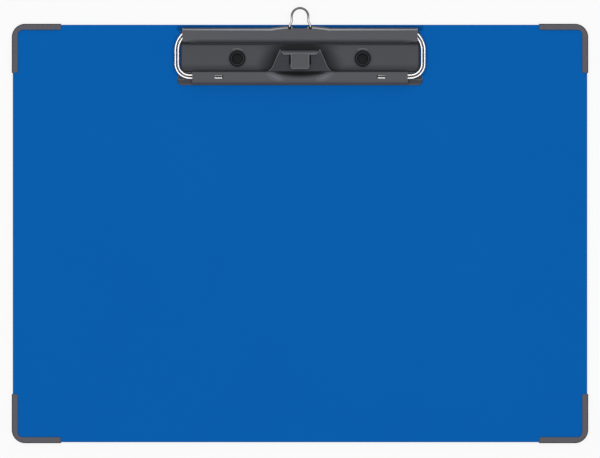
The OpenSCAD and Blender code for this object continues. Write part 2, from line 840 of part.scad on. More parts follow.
// Hanging hook: a loop with two leaning legs and two feet turned outwards inside the fold
module hanging_hook() {
    leg_x = loop_w / 2;
    arch_y = hook_reach - hook_d / 2 - leg_x;
    lean_dx = hook_hole_x - leg_x;
    lean_l = (lean_dx - 2 * lean_bend_r * (1 - cos(lean_angle))) / sin(lean_angle);
    lean_y = 2 * lean_bend_r * sin(lean_angle) + lean_l * cos(lean_angle);
    color(bright_steel) at_clip() translate([0, arch_y + leg_x, axis_h])
        both_sides() rotate([0, 0, -90]) bent_wire(hook_d, [
            [0, leg_x, -90],
            [arch_y + lean_start - lean_y, lean_bend_r, lean_angle],
            [lean_l, lean_bend_r, -lean_angle],
            [hook_depth - foot_bend_r - lean_start, foot_bend_r, 90],
            [foot_x - hook_hole_x - foot_bend_r, 0, 0]
        ]);
}

board_core();
front_cover();
back_lining();
guard_top_left();
guard_top_right();
guard_bottom_left();
guard_bottom_right();
clip_base();
rivet_left();
rivet_right();
rivet_washer_left();
rivet_washer_right();
spring_wire_outer();
spring_wire_inner();
jaw_plate();
hanging_hook();
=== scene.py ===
"""A landscape clipboard in a white studio: blue board, four corner guards, pressed spring clip."""

import json
import logging
import math
from dataclasses import dataclass, field
from enum import Enum
from typing import Any, TypeAlias

import bpy
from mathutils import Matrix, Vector

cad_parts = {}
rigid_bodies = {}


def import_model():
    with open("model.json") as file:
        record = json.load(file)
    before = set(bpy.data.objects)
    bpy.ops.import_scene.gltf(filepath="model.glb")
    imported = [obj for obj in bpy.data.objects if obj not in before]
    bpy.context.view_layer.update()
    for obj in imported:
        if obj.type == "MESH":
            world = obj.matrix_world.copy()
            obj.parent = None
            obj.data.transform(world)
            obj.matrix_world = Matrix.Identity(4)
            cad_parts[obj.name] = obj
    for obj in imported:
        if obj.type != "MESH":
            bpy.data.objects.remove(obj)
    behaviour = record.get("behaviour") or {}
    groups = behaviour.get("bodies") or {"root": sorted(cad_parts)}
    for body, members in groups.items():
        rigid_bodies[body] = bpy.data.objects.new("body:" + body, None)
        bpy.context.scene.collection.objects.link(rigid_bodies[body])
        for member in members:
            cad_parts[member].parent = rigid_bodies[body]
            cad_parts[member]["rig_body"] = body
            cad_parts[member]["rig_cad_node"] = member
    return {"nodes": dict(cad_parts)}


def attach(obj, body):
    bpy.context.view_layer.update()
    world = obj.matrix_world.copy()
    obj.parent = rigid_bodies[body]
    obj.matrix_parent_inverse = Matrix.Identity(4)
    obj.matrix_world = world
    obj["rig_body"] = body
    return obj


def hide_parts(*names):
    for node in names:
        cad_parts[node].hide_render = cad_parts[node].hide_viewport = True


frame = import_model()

LOG = logging.getLogger("clipboard")

MM = 0.001
PHOTO_WIDTH = 600
BOARD_EDGE = 112.4 * MM  # the board's upper edge; a depth is measured from here towards -Y
FACE_LEVEL = 3.8 * MM  # the writing face; a height is measured from here
EDGE_PLACE = 1  # where a reworked piece's list of materials holds the finish of its rounds

Span: TypeAlias = tuple[float, float]
Colour: TypeAlias = tuple[float, float, float]
Item: TypeAlias = bpy.types.Object
Entry: TypeAlias = "Term | float | Colour"


class Term:
    """A shader socket that takes part in Python sums and products."""

    def __init__(self, graph: "Graph", socket: bpy.types.NodeSocket) -> None:
        """Wraps one output socket.

        Args:
            graph: The node tree that the socket belongs to.
            socket: The output socket.
        """
        self.graph = graph
        self.socket = socket

    def __add__(self, other: Entry) -> "Term":
        """Returns the sum."""
        return self.graph.sum(self, other)

    def __radd__(self, other: Entry) -> "Term":
        """Returns the sum, with this term on the right."""
        return self.graph.sum(other, self)

    def __sub__(self, other: Entry) -> "Term":
        """Returns the difference."""
        return self.graph.math("SUBTRACT", self, other)

    def __rsub__(self, other: Entry) -> "Term":
        """Returns the difference, with this term on the right."""
        return self.graph.math("SUBTRACT", other, self)

    def __mul__(self, other: Entry) -> "Term":
        """Returns the product."""
        return self.graph.math("MULTIPLY", self, other)

    def __rmul__(self, other: Entry) -> "Term":
        """Returns the product, with this term on the right."""
        return self.graph.math("MULTIPLY", other, self)

    def __truediv__(self, other: Entry) -> "Term":
        """Returns the quotient."""
        return self.graph.math("DIVIDE", self, other)


class Graph:
    """The node tree of one material, built from Python expressions."""

    def __init__(self, tree: bpy.types.NodeTree) -> None:
        """Empties the tree.

        Args:
            tree: The node tree of a material or of the world.
        """
        self.tree = tree
        self.tree.nodes.clear()

    def node(self, kind: str, settings: dict[str, Any] | None = None,
             sockets: dict[str | int, Entry] | None = None) -> bpy.types.Node:
        """Adds one node.

        Args:
            kind: The node's type.
            settings: Its own settings, set before its sockets.
            sockets: Values or terms for its input sockets, by name or number.

        Returns:
            The new node.
        """
        made = self.tree.nodes.new(kind)
        for name, value in (settings or {}).items():
            setattr(made, name, value)
        for key, value in (sockets or {}).items():
            if isinstance(value, Term):
                self.tree.links.new(value.socket, made.inputs[key])
            elif isinstance(value, tuple) and made.inputs[key].type == "RGBA":
                made.inputs[key].default_value = (*value, 1.0)
            else:
                made.inputs[key].default_value = value
        return made

    def math(self, operation: str, *values: Entry) -> Term:
        """Returns the result of a Math node on values and terms."""
        made = self.node("ShaderNodeMath", {"operation": operation}, dict(enumerate(values)))
        return Term(self, made.outputs[0])

    def largest(self, first: Term, *others: Entry) -> Term:
        """Returns the largest of several values and terms."""
        for other in others:
            first = self.math("MAXIMUM", first, other)
        return first

    def sum(self, left: Entry, right: Entry) -> Term:
        """Returns the sum of two values or terms."""
        return self.math("ADD", left, right)

    def blend(self, share: Entry, under: Entry, over: Entry) -> Term:
        """Returns a colour between two colours.

        Args:
            share: How much of the second colour shows, from 0 to 1.
            under: The first colour or term.
            over: The second colour or term.

        Returns:
            The blended colour.
        """
        made = self.node("ShaderNodeMix", {"data_type": "RGBA"}, {0: share, 6: under, 7: over})
        return Term(self, made.outputs[2])

    def place(self) -> Term:
        """Returns the point on the piece, in metres from the origin."""
        return Term(self, self.node("ShaderNodeTexCoord").outputs["Object"])

    def stretched(self, point: Term, stretch: Colour) -> Term:
        """Returns the point, scaled along each axis."""
        made = self.node("ShaderNodeMapping", None, {"Vector": point, "Scale": stretch})
        return Term(self, made.outputs[0])

    def parts(self, point: Term) -> tuple[Term, Term, Term]:
        """Returns the three lengths of a point along X, Y and Z."""
        made = self.node("ShaderNodeSeparateXYZ", None, {0: point})
        across, along, up = (Term(self, output) for output in made.outputs)
        return across, along, up

    def on_board(self, point: Term) -> tuple[Term, Term, Term]:
        """Returns a point's distance from the middle plane, its depth and its height over Z = 0."""
        across, along, up = self.parts(point)
        return self.math("ABSOLUTE", across), BOARD_EDGE - along, up

    def noise(self, point: Term, size: float, detail: float = 2.0, roughness: float = 0.5) -> Term:
        """Returns soft noise from 0 to 1.

        Args:
            point: The place where the noise is read.
            size: The size of its cells, in metres.
            detail: How many finer layers it has.
            roughness: How strong the finer layers are.

        Returns:
            The noise value.
        """
        made = self.node("ShaderNodeTexNoise", None, {
            "Vector": point, "Scale": 1.0 / size, "Detail": detail, "Roughness": roughness})
        return Term(self, made.outputs[0])

    def length(self, along: Term, across: Term) -> Term:
        """Returns the length of the line with these two parts."""
        return self.math("SQRT", along * along + across * across)

    def step(self, value: Entry, low: float, high: float) -> Term:
        """Returns 0 below the low value, 1 above the high one and a smooth rise between."""
        made = self.node("ShaderNodeMapRange", {"interpolation_type": "SMOOTHSTEP"},
                         {0: value, 1: low, 2: high})
        return Term(self, made.outputs[0])

    def bump(self, height: Term, depth: float, strength: float = 1.0) -> Term:
        """Returns a normal that follows a height.

        Args:
            height: The height, from 0 to 1.
            depth: The depth of the relief, in metres.
            strength: How much of it shows.

        Returns:
            The normal.
        """
        made = self.node("ShaderNodeBump", None, {
            "Strength": strength, "Distance": depth, "Height": height})
        return Term(self, made.outputs[0])

    def surface(self, **sockets: Entry) -> None:
        """Adds the main shader and the output, with the shader's sockets as named."""
        named = {key.replace("_", " ").title().replace("Ior", "IOR"): value
                 for key, value in sockets.items()}
        shader = self.node("ShaderNodeBsdfPrincipled", None, named)
        output = self.node("ShaderNodeOutputMaterial")
        self.tree.links.new(shader.outputs[0], output.inputs["Surface"])


@dataclass(frozen=True)
class Finish:
    """What all finishes share: a name, a colour and a roughness."""

    name: str
    colour: Colour
    roughness: float

    def material(self) -> bpy.types.Material:
        """Returns a new material with this finish."""
        made = bpy.data.materials.new(self.name)
        made.use_nodes = True
        made.diffuse_color = (*self.colour, 1.0)
        self.paint(Graph(made.node_tree))
        return made

    def paint(self, graph: Graph) -> None:
        """Builds the finish's nodes."""
        raise NotImplementedError

    def shade(self, factor: float) -> Colour:
        """Returns the colour made lighter or darker by a factor."""
        red, green, blue = self.colour
        return red * factor, green * factor, blue * factor

    def toned(self, graph: Graph, share: Entry, tones: Span) -> Term:
        """Returns the colour between a darker and a lighter shade of itself.

        Args:
            graph: The material's node tree.
            share: How much of the lighter shade shows, from 0 to 1.
            tones: The factors of the darker and the lighter shade.

        Returns:
            The blended colour.
        """
        darker, lighter = tones
        return graph.blend(share, self.shade(darker), self.shade(lighter))


@dataclass(frozen=True)
class WrappingFilm(Finish):
    """Blue film with a fine pressed grain."""

    grain: float = 0.32 * MM
    grain_depth: float = 0.012 * MM
    cloud: float = 70 * MM
    scuff: float = 14 * MM
    scuff_stretch: Colour = (1.0, 9.0, 1.0)
    scuff_range: Span = (0.60, 0.74)
    tones: Span = (0.93, 1.07)
    # Shade factor of the film's painted shade.
    film_shade_tone: float = 0.3
    gloss: float = 0.03

    def painted_shade_share(self, graph: Graph, point: Term) -> Entry:
        """Returns how much painted shade darkens the film at a point, from 0 to 1."""
        return 0.0

    def paint(self, graph: Graph) -> None:
        """Builds the film: faint clouds, a fine grain, hair-thin scuffs and any painted shade."""
        point = graph.place()
        cloud = graph.noise(point, self.cloud, 2.0)
        grain = graph.noise(point, self.grain, 3.0, 0.6)
        streaks = graph.noise(graph.stretched(point, self.scuff_stretch), self.scuff, 6.0, 0.62)
        scuffs = graph.step(streaks, *self.scuff_range)
        tone = self.toned(graph, 0.35 * cloud + 0.25 * grain, self.tones)
        # Painted shade: the film goes darker where the share is above 0.
        tone = graph.blend(self.painted_shade_share(graph, point), tone, self.shade(self.film_shade_tone))
        graph.surface(
            base_color=tone,
            roughness=self.roughness + 0.10 * (grain - 0.5) - 0.05 * scuffs,
            specular_ior_level=self.gloss,
            normal=graph.bump(grain, self.grain_depth, 0.5),
        )


@dataclass(frozen=True)
class CoverFilm(WrappingFilm):
    """The writing side's film, with painted shade where the clip's upper bend meets it."""

    line_side: Span = (68 * MM, 70 * MM)
    line_depth: Span = (-0.1 * MM, 1.2 * MM)
    line_end: Span = (3 * MM, 4 * MM)
    face: Span = (3.4 * MM, 3.6 * MM)
    # Strength of the painted shade along the clip's upper bend.
    line_shade_strength: float = 0.62

    def painted_shade_share(self, graph: Graph, point: Term) -> Entry:
        """Returns the painted shade between the board's upper edge and the clip."""
        side, depth, up = graph.on_board(point)
        near = 1.0 - graph.step(side, *self.line_side)
        above = 1.0 - graph.step(depth, *self.line_end)
        below = graph.step(depth, *self.line_depth)
        return self.line_shade_strength * near * above * below * graph.step(up, *self.face)


@dataclass(frozen=True)
class MouldedPlastic(Finish):
    """Dark plastic from a finely blasted mould."""

    grain: float = 0.28 * MM
    grain_depth: float = 0.02 * MM
    cloud: float = 9 * MM
    rub: float = 2.2 * MM
    rub_range: Span = (0.55, 0.8)
    tones: Span = (0.86, 1.14)
    gloss: float = 0.35

    def paint(self, graph: Graph) -> None:
        """Builds the plastic: blasted grain, soft flow clouds and rubbed high spots."""
        point = graph.place()
        grain = graph.noise(point, self.grain, 3.0, 0.65)
        cloud = graph.noise(point, self.cloud, 3.0)
        rubbed = graph.step(graph.noise(point, self.rub, 4.0, 0.6), *self.rub_range)
        tone = self.toned(graph, 0.5 * cloud + 0.5 * grain, self.tones)
        graph.surface(
            base_color=tone,
            roughness=self.roughness + 0.14 * (grain - 0.5) - 0.08 * rubbed,
            specular_ior_level=self.gloss,
            normal=graph.bump(grain, self.grain_depth, 0.6),
        )


@dataclass(frozen=True)
class SatinPaint(Finish):
    """Dark satin paint on pressed steel."""

    peel: float = 1.1 * MM
    peel_depth: float = 0.010 * MM
    fleck: float = 0.16 * MM
    sparkle_range: Span = (0.62, 0.78)
    cloud: float = 16 * MM
    tones: Span = (0.88, 1.16)
    # Shade factors of the painted shade and of the painted highlight.
    paint_shade_tone: float = 0.12
    paint_highlight_tone: float = 2.6
    gloss: float = 0.2

    def hollow(self, graph: Graph, point: Term) -> Entry:
        """Returns how much painted shade darkens the paint at a point, from 0 to 1."""
        return 0.0

    def rubbed(self, graph: Graph, point: Term) -> Entry:
        """Returns how much painted highlight lightens the paint at a point, from 0 to 1."""
        return 0.0

    def paint(self, graph: Graph) -> None:
        """Builds the paint: orange peel, fine flecks, slow changes of gloss and any painted shade
        or highlight.
        """
        point = graph.place()
        hollow = self.hollow(graph, point)
        rubbed = self.rubbed(graph, point)
        peel = graph.noise(point, self.peel, 2.0)
        fleck = graph.noise(point, self.fleck, 2.0, 0.7)
        cloud = graph.noise(point, self.cloud, 3.0)
        sparkle = graph.step(fleck, *self.sparkle_range)
        tone = self.toned(graph, 0.45 * cloud + 0.3 * fleck + 0.25 * sparkle, self.tones)
        # Painted shade from hollow(), then a painted highlight from rubbed().
        tone = graph.blend(hollow, tone, self.shade(self.paint_shade_tone))
        tone = graph.blend(rubbed, tone, self.shade(self.paint_highlight_tone))
        graph.surface(
            base_color=tone,
            roughness=self.roughness + 0.12 * (cloud - 0.5) + 0.06 * (fleck - 0.5) + 0.5 * hollow,
            specular_ior_level=self.gloss,
            normal=graph.bump(peel, self.peel_depth, 0.5),
        )


@dataclass(frozen=True)
class BasePaint(SatinPaint):
    """The base's paint, with painted shade in its low parts, on the flap's curl and at the hook."""

    # Strengths and reaches of the painted shade on the plate, beside the lift, under the flap, in
    # the slots and on the curl.
    plate_to_flap: Span = (6.3 * MM, 7.4 * MM)
    plate_painted_shade: float = 0.2
    middle_depth: float = 13.2 * MM
    middle_half: Span = (22 * MM, 4.6 * MM)
    middle_fade: Span = (0.35, 1.15)
    middle_painted_shade: float = 0.75
    lift_depth: float = 15 * MM
    lift_rise: float = 4 * MM
    lift_spread: float = 0.45
    lift_shade: Span = (12.5 * MM, 23 * MM)
    lift_painted_shade: float = 0.7
    fall: Span = (21.8 * MM, 24.6 * MM)
    fall_painted_shade: float = 0.2
    slot_place: Span = (5.75 * MM, 2.1 * MM)
    slot_radius: float = 1.05 * MM
    slot_core: float = 0.6
    flap_end: float = 10.85 * MM
    flap_shade: float = 1.3 * MM
    flap_painted_shade: float = 0.6
    curl: float = 1.7 * MM
    curl_painted_shade: float = 0.75

    def hollow(self, graph: Graph, point: Term) -> Entry:
        """Returns the painted shade: some on the plate, more in its corners and middle, most at the
        hook.
        """
        side, depth, up = graph.on_board(point)
        low = 1.0 - graph.step(up, *self.plate_to_flap)
        reach = graph.length(side / self.middle_half[0],
                             (depth - self.middle_depth) / self.middle_half[1])
        middle = self.middle_painted_shade * (1.0 - graph.step(reach, *self.middle_fade))
        off_lift = side - self.lift_spread * (depth - self.lift_depth)
        beside = self.lift_painted_shade * (1.0 - graph.step(off_lift, *self.lift_shade)) * graph.step(
            depth, self.lift_depth - self.lift_rise, self.lift_depth)
        under_flap = self.flap_painted_shade * (
            1.0 - graph.step(depth, self.flap_end, self.flap_end + self.flap_shade))
        falling = self.fall_painted_shade * graph.step(depth, *self.fall)
        shade = graph.largest(middle, beside, under_flap, falling)
        plate = low * (self.plate_painted_shade + (1.0 - self.plate_painted_shade) * shade)
        # Painted shade in the hook's slots.
        off_slot = graph.length(side - self.slot_place[0], depth - self.slot_place[1])
        slot = 1.0 - graph.step(off_slot, self.slot_core * self.slot_radius, self.slot_radius)
        curled = self.curl_painted_shade * (1.0 - low) * graph.step(
            depth, self.flap_end - self.curl, self.flap_end)
        return graph.largest(plate, slot, curled)


@dataclass(frozen=True)
class JawPaint(SatinPaint):
    """The jaw's paint: painted shade in the hollow under the lift, a painted highlight on both
    ridges.
    """

    arc_radius: float = 48 * MM
    arc_bottom: float = 30.9 * MM
    arc_fade: float = 3.1 * MM
    root: Span = (26.1 * MM, 26.6 * MM)
    top_start: Span = (25.9 * MM, 26.2 * MM)
    top_end: Span = (26.5 * MM, 27.1 * MM)
    # Strength of the painted shade along the jaw's upper edge.
    top_painted_shade: float = 0.6
    ridge_place: Span = (13.8 * MM, 29.5 * MM)
    ridge_half: Span = (6.6 * MM, 2.5 * MM)
    ridge_lean: float = 24.0
    ridge_fade: Span = (0.2, 1.1)
    # Strength of the painted highlight on the ridges.
    ridge_painted_highlight: float = 0.6

    def hollow(self, graph: Graph, point: Term) -> Entry:
        """Returns the painted shade inside the arc that ends the hollow, and along the upper edge.
        """
        side, depth, _ = graph.on_board(point)
        reach = graph.length(side, depth - (self.arc_bottom - self.arc_radius))
        inside = 1.0 - graph.step(reach, self.arc_radius - self.arc_fade, self.arc_radius)
        top = graph.step(depth, *self.top_start) * (1.0 - graph.step(depth, *self.top_end))
        return graph.largest(inside * graph.step(depth, *self.root), self.top_painted_shade * top)

    def rubbed(self, graph: Graph, point: Term) -> Entry:
        """Returns the painted highlight on the crests of both ridges."""
        side, depth, _ = graph.on_board(point)
        out = side - self.ridge_place[0]
        down = depth - self.ridge_place[1]
        lean = math.radians(self.ridge_lean)
        run = out * math.cos(lean) - down * math.sin(lean)
        off = out * math.sin(lean) + down * math.cos(lean)
        reach = graph.length(run / self.ridge_half[0], off / self.ridge_half[1])
        return self.ridge_painted_highlight * (1.0 - graph.step(reach, *self.ridge_fade))


@dataclass(frozen=True)
class BrightWire(Finish):
    """Bright plated spring wire with fine drawing marks."""

    mark: float = 0.5 * MM
    mark_depth: float = 0.004 * MM
    cloud: float = 5 * MM
    tones: Span = (0.9, 1.06)
    # Shade factor of the darkened parts of the wire.
    dark_tone: float = 0.03

    def paint(self, graph: Graph) -> None:
        """Builds the metal: drawing marks, plating that varies a little in gloss, and any
        darkening.
        """
        point = graph.place()
        cloud = graph.noise(point, self.cloud, 3.0)
        marks = graph.noise(point, self.mark, 4.0, 0.6)
        tone = self.toned(graph, 0.6 * cloud + 0.4 * marks, self.tones)
        tone = graph.blend(self.darkening(graph, point), tone, self.shade(self.dark_tone))
        graph.surface(
            base_color=tone,
            metallic=1.0,
            roughness=self.roughness + 0.16 * (marks - 0.5),
            normal=graph.bump(marks, self.mark_depth, 0.4),
        )

    def darkening(self, graph: Graph, point: Term) -> Entry:
        """Returns how much darker the wire is painted at a point, from 0 to 1."""
        return 0.0


@dataclass(frozen=True)
class HookWire(BrightWire):
    """The hook's wire: painted darker on its arch, and black at its ends as painted shade in the
    slots.
    """

    arch: Span = (1.6 * MM, 6.2 * MM)
    arch_darkness: float = 0.8
    slot: Span = (1.2 * MM, 1.7 * MM)

    def darkening(self, graph: Graph, point: Term) -> Entry:
        """Returns the darkening, most on the arch and at the ends, least on the legs."""
        _, depth, _ = graph.on_board(point)
        arch = self.arch_darkness * graph.step(0.0 - depth, *self.arch)
        # The arch is painted darker; the ends in the slots are painted black as painted shade.
        return graph.largest(arch, graph.step(depth, *self.slot))


@dataclass(frozen=True)
class PlatedSteel(Finish):
    """Plain plated steel with a spangled, slightly dull face."""

    cell: float = 0.9 * MM
    mark: float = 0.15 * MM
    mark_depth: float = 0.006 * MM
    tones: Span = (0.85, 1.1)

    def paint(self, graph: Graph) -> None:
        """Builds the plating: cells of different gloss and fine turning marks."""
        point = graph.place()
        cell = graph.noise(point, self.cell, 2.0)
        marks = graph.noise(point, self.mark, 3.0)
        graph.surface(
            base_color=self.toned(graph, cell, self.tones),
            metallic=1.0,
            roughness=self.roughness + 0.2 * (cell - 0.5),
            normal=graph.bump(marks, self.mark_depth, 0.5),
        )


@dataclass(frozen=True)
class LacqueredSteel(Finish):
    """Dark lacquer on the rivets, also laid in their cups as painted shade."""

    pit: float = 0.3 * MM
    pit_depth: float = 0.008 * MM
    cloud: float = 2.5 * MM
    tones: Span = (0.8, 1.2)
    gloss: float = 0.05

    def paint(self, graph: Graph) -> None:
        """Builds the lacquer: a dark coat with a soft gloss and small pits."""
        point = graph.place()
        pits = graph.noise(point, self.pit, 3.0)
        cloud = graph.noise(point, self.cloud, 2.0)
        graph.surface(
            base_color=self.toned(graph, cloud, self.tones),
            roughness=self.roughness + 0.1 * (pits - 0.5),
            specular_ior_level=self.gloss,
            normal=graph.bump(pits, self.pit_depth, 0.4),
        )


@dataclass(frozen=True)
class GreyBoard(Finish):
    """Pressed grey board with short fibres."""

    fibre: float = 1.2 * MM
    fibre_stretch: Colour = (1.0, 4.0, 4.0)
    fibre_depth: float = 0.03 * MM
    speck: float = 0.7 * MM
    speck_range: Span = (0.66, 0.74)
    tones: Span = (0.75, 1.15)

    def paint(self, graph: Graph) -> None:
        """Builds the board: fibres in all directions and darker specks."""
        point = graph.place()
        fibre = graph.noise(graph.stretched(point, self.fibre_stretch), self.fibre, 5.0, 0.65)
        specks = graph.step(graph.noise(point, self.speck, 2.0), *self.speck_range)
        graph.surface(
            base_color=self.toned(graph, 0.8 * fibre + 0.2 * (1.0 - specks), self.tones),
            roughness=self.roughness,
            normal=graph.bump(fibre, self.fibre_depth, 0.6),
        )


class Finishes(Enum):
    """The finishes of this clipboard, by piece."""

    COVER = CoverFilm("cover_film", (0.0012, 0.116, 0.432), 0.7)
    LINING = WrappingFilm("lining_film", (0.001, 0.105, 0.39), 0.7)
    GUARD = MouldedPlastic("guard_plastic", (0.045, 0.047, 0.06), 0.52)
    # Painted shade on the guards' outer rounds.
    GUARD_EDGE = MouldedPlastic("guard_plastic_edge_shade", (0.012, 0.0125, 0.018), 0.6)
    BASE = BasePaint("base_paint", (0.061, 0.063, 0.075), 0.4)
    JAW = JawPaint("jaw_paint", (0.057, 0.059, 0.07), 0.4)
    # Painted highlight on the clip's rounded edges.
    CLIP_EDGE = SatinPaint("clip_paint_edge_highlight", (0.2, 0.203, 0.215), 0.36)
    # Painted highlight along the flap's upper bend.
    FLAP_RUB = SatinPaint("flap_bend_highlight", (0.33, 0.335, 0.36), 0.36)
    # Painted light on the downward-facing bends of the lip and the jaw.
    LIP_RUB = SatinPaint("lip_bend_painted_light", (0.096, 0.092, 0.099), 0.4)
    WIRE = BrightWire("spring_wire_metal", (0.64, 0.63, 0.62), 0.32)
    HOOK = HookWire("hook_wire_metal", (0.46, 0.46, 0.45), 0.3)
    # The rivets' own dark lacquer, also used black in the cups as painted shade.
    RIVET = LacqueredSteel("rivet_lacquer_and_cup_shade", (0.0035, 0.0037, 0.005), 0.3)
    # Painted highlight on the rivet heads' rounded rims.
    RIVET_EDGE = LacqueredSteel("rivet_lacquer_edge_highlight", (0.09, 0.092, 0.098), 0.3)
    WASHER = PlatedSteel("washer_plating", (0.6, 0.61, 0.62), 0.36)
    CORE = GreyBoard("core_greyboard", (0.42, 0.36, 0.28), 0.85)

    def made(self) -> bpy.types.Material:
        """Returns the finish's material, made once."""
        return bpy.data.materials.get(self.value.name) or self.value.material()


class Bench:
    """Steps that a maker would take by hand, on one piece at a time."""

    @staticmethod
    def place(point: Vector) -> tuple[float, float, float]:
        """Returns a point's distance from the middle plane, its depth and its height."""
        return abs(point.x), BOARD_EDGE - point.y, point.z - FACE_LEVEL

    @staticmethod
    def share(value: float, start: float, end: float) -> float:
        """Returns how far a value has gone from a start to an end, from 0 to 1."""
        return min(max((value - start) / (end - start), 0.0), 1.0)

    @staticmethod
    def clear() -> None:
        """Leaves object mode with nothing selected."""
        if bpy.context.object and bpy.context.object.mode != "OBJECT":
            bpy.ops.object.mode_set(mode="OBJECT")
        bpy.ops.object.select_all(action="DESELECT")

    @classmethod
    def take(cls, piece: Item) -> None:
        """Selects one piece alone and makes it active."""
        cls.clear()
        piece.select_set(True)
        bpy.context.view_layer.objects.active = piece

    @staticmethod
    def coat(piece: Item, finish: Finishes) -> None:
        """Gives the whole piece one finish."""
        piece.data.materials.clear()
        piece.data.materials.append(finish.made())

    @staticmethod
    def offer(piece: Item, finish: Finishes) -> int:
        """Adds a finish to the piece's list and returns its place there."""
        piece.data.materials.append(finish.made())
        return len(piece.data.materials) - 1


@dataclass
class Reworked:
    """A copy of a CAD node with its sharp edges broken, which stands for the node."""

    node: str
    body: str
    slot: str
    finish: Finishes
    edge_finish: Finishes
    edge_width: float = 0.14 * MM
    edge_angle: float = 38.0
    edge_segments: int = 2
    clamp: bool = False
    merge: float = 0.001 * MM
    flat_angle: float = 0.4
    smooth_angle: float = 32.0

    def build(self) -> Item:
        """Copies the node, reshapes it, breaks its edges and coats it.

        Returns:
            The finished piece.
        """
        piece = self.duplicate()
        self.reshape(piece)
        self.weigh_edges(piece)
        self.break_edges(piece)
        self.paint_parts(piece)
        self.smooth(piece)
        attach(piece, self.body)
        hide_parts(self.node)
        LOG.info("reworked %s: %d faces", self.node, len(piece.data.polygons))
        return piece

    def duplicate(self) -> Item:
        """Returns a copy of the node with whole faces in place of loose triangles."""
        Bench.take(frame["nodes"][self.node])
        bpy.ops.object.duplicate()
        piece = bpy.context.object
        piece.name = f"{self.node}_finished"
        piece.parent = None
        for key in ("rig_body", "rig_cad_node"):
            del piece[key]
        Bench.take(piece)
        bpy.ops.object.mode_set(mode="EDIT")
        bpy.ops.mesh.select_all(action="SELECT")
        bpy.ops.mesh.remove_doubles(threshold=self.merge)
        bpy.ops.mesh.dissolve_limited(angle_limit=math.radians(self.flat_angle))
        bpy.ops.object.mode_set(mode="OBJECT")
        Bench.coat(piece, self.finish)
        piece.data.materials.append(self.edge_finish.made())
        return piece

    def reshape(self, piece: Item) -> None:
        """Leaves the shape as it is."""

    def edge_weight(self, across: float, depth: float, height: float) -> float:
        """Returns how wide an edge is broken, as a share of the full width.

        Args:
            across: The distance of the edge's middle from the middle plane.
            depth: Its distance from the board's upper edge.
            height: Its height over the writing face.

        Returns:
            The share, from 0 to 1.
        """
        return 1.0

    def weigh_edges(self, piece: Item) -> None:
        """Gives each sharp edge the weight that its place asks for."""
        Bench.take(piece)
        bpy.ops.object.mode_set(mode="EDIT")
        bpy.ops.mesh.select_mode(type="EDGE")
        bpy.ops.mesh.select_all(action="DESELECT")
        bpy.ops.mesh.edges_select_sharp(sharpness=math.radians(self.edge_angle))
        bpy.ops.object.mode_set(mode="OBJECT")
        mesh = piece.data
        weights = mesh.attributes.new("bevel_weight_edge", "FLOAT", "EDGE")
        for edge in mesh.edges:
            if edge.select:
                first, second = (mesh.vertices[index].co for index in edge.vertices)
                weights.data[edge.index].value = self.edge_weight(
                    *Bench.place((first + second) / 2))

    def smooth(self, piece: Item) -> None:
        """Shades the rounds softly and keeps the flats flat."""
        Bench.take(piece)
        bpy.ops.object.shade_smooth_by_angle(angle=math.radians(self.smooth_angle))
        bpy.ops.object.modifier_add(type="WEIGHTED_NORMAL")
        flats = piece.modifiers[-1]
        flats.keep_sharp = True
        bpy.ops.object.modifier_apply(modifier=flats.name)

    def break_edges(self, piece: Item) -> None:
        """Rounds every edge that has a weight, and gives the rounds their own finish."""
        Bench.take(piece)
        bpy.ops.object.modifier_add(type="BEVEL")
        rounding = piece.modifiers[-1]
        rounding.width = self.edge_width
        rounding.segments = self.edge_segments
        rounding.limit_method = "WEIGHT"
        rounding.use_clamp_overlap = self.clamp
        rounding.material = EDGE_PLACE
        bpy.ops.object.modifier_apply(modifier=rounding.name)

    def paint_parts(self, piece: Item) -> None:
        """Leaves the finish as it is."""


